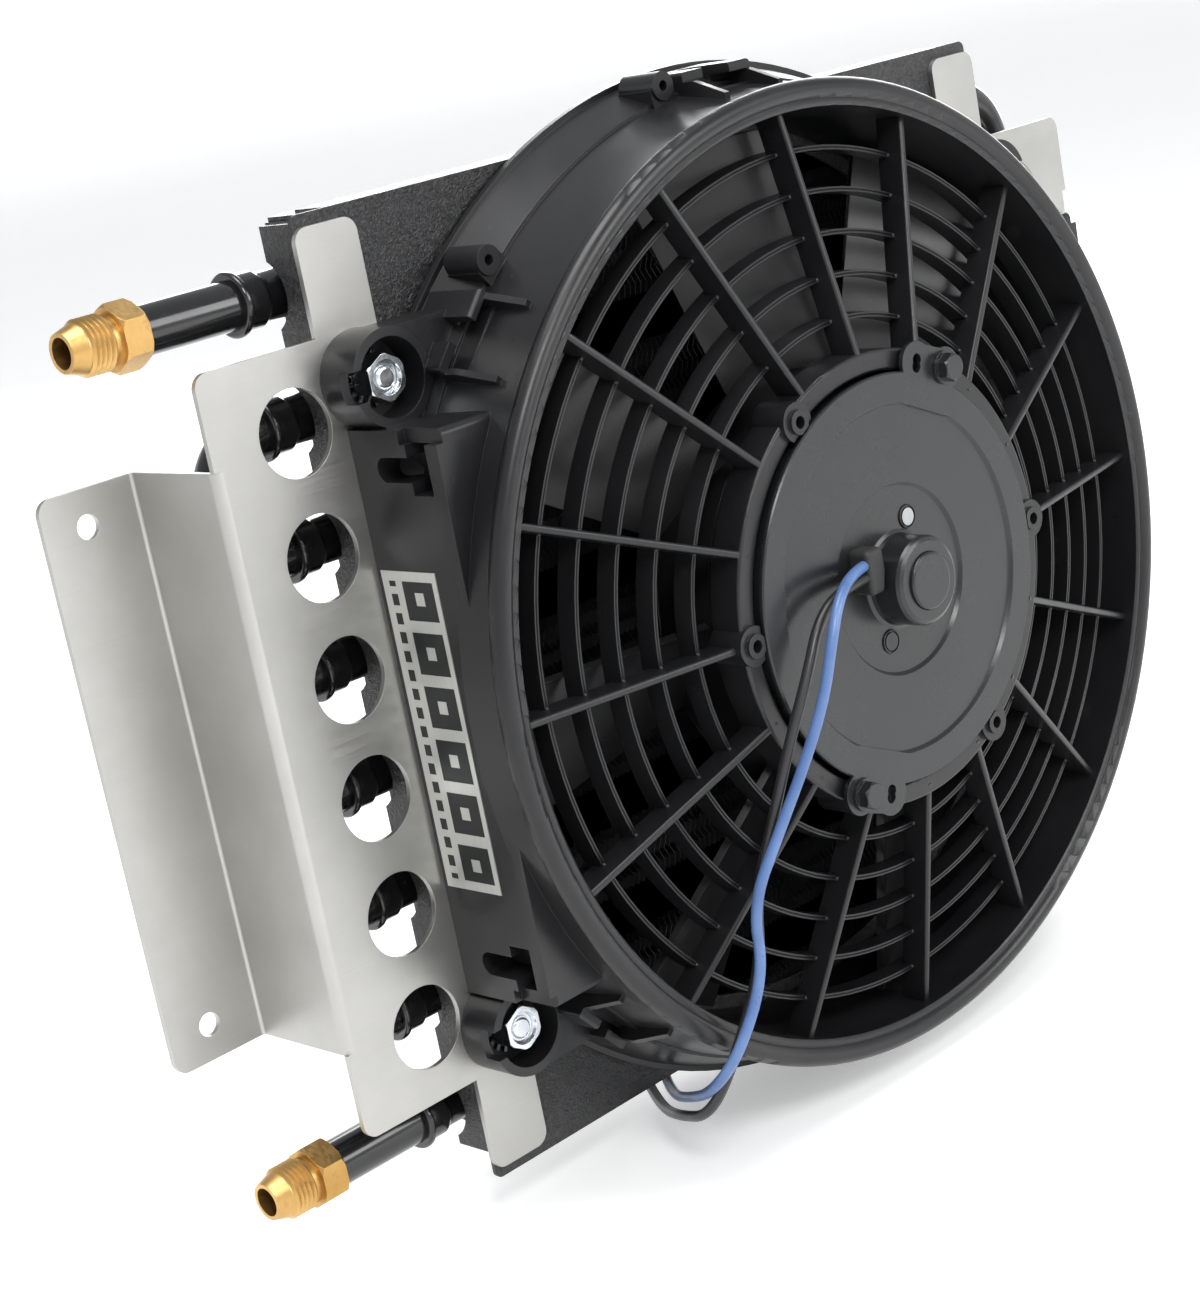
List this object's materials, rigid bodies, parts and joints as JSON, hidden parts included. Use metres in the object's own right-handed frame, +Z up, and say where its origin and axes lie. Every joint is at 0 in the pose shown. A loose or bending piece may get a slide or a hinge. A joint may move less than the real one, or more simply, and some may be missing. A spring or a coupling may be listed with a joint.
{
  "type": "hydraulic_oil_cooler",
  "caption": "Tube-and-fin hydraulic oil cooler with a guarded electric fan, side brackets and flare fittings",
  "frame": {"origin": "Centre of the four mounting holes, on the back plane of the bracket flanges; the fan axis passes through it.", "axes": "+X to the cooler's right seen from the fan, +Y along the fan axis from the fan towards the fins, +Z up."},
  "size_m": [0.4012, 0.1098, 0.2886],
  "materials": {
    "plate_black": "wrinkle",
    "tube_black": "gloss",
    "fin_black": "satin",
    "bracket_aluminium": "brushed",
    "housing_plastic": "satin",
    "cover_black": "semi_gloss",
    "fitting_brass": "satin",
    "zinc_steel": "bright_zinc",
    "label_silver": "satin",
    "rubber_black": "matte",
    "wire_blue": "satin",
    "wire_black": "satin",
    "copper": "bare",
    "magnet_dark": "sintered",
    "nylon_natural": "matte"
  },
  "bodies": {
    "cooler": {"bearing_cap": "cover_black", "bottom_core_rail": "plate_black", "brush_card": "nylon_natural", "brush_springs": "zinc_steel", "brushes": "magnet_dark", "cover_bolts": "cover_black", "cover_plugs": "cover_black", "ear_bolts": "zinc_steel", "ear_nuts": "zinc_steel", "ear_washers": "zinc_steel", "fan_guard": "housing_plastic", "fan_housing": "housing_plastic", "fin_pack": "fin_black", "front_bearing": "zinc_steel", "front_plate": "plate_black", "hairpin_tube_1": "tube_black", "hairpin_tube_2": "tube_black", "hairpin_tube_3": "tube_black", "hairpin_tube_4": "tube_black", "inlet_fitting": "fitting_brass", "inlet_tube": "tube_black", "label_plate": "label_silver", "left_bracket": "bracket_aluminium", "left_tube_sheet": "plate_black", "magnets": "magnet_dark", "motor_can": "cover_black", "motor_cover": "cover_black", "outlet_fitting": "fitting_brass", "outlet_tube": "tube_black", "rear_bearing": "zinc_steel", "return_bend_1": "tube_black", "return_bend_2": "tube_black", "return_bend_3": "tube_black", "right_bracket": "bracket_aluminium", "right_tube_sheet": "plate_black", "terminal_black": "wire_black", "terminal_blue": "wire_blue", "top_core_rail": "plate_black", "wire_black": "wire_black", "wire_blue": "wire_blue", "wire_clips": "nylon_natural", "wire_grommet": "rubber_black"},
    "rotor": {"motor_shaft": "zinc_steel", "armature_core": "zinc_steel", "windings": "copper", "commutator": "copper", "impeller": "housing_plastic", "hub_clip": "zinc_steel"}
  },
  "joints": [
    {"name": "fan_spin", "type": "hinge", "parent": "cooler", "child": "rotor", "pos_m": [0, -0.06, 0], "axis": [0, 1, 0], "continuous": true}
  ]
}
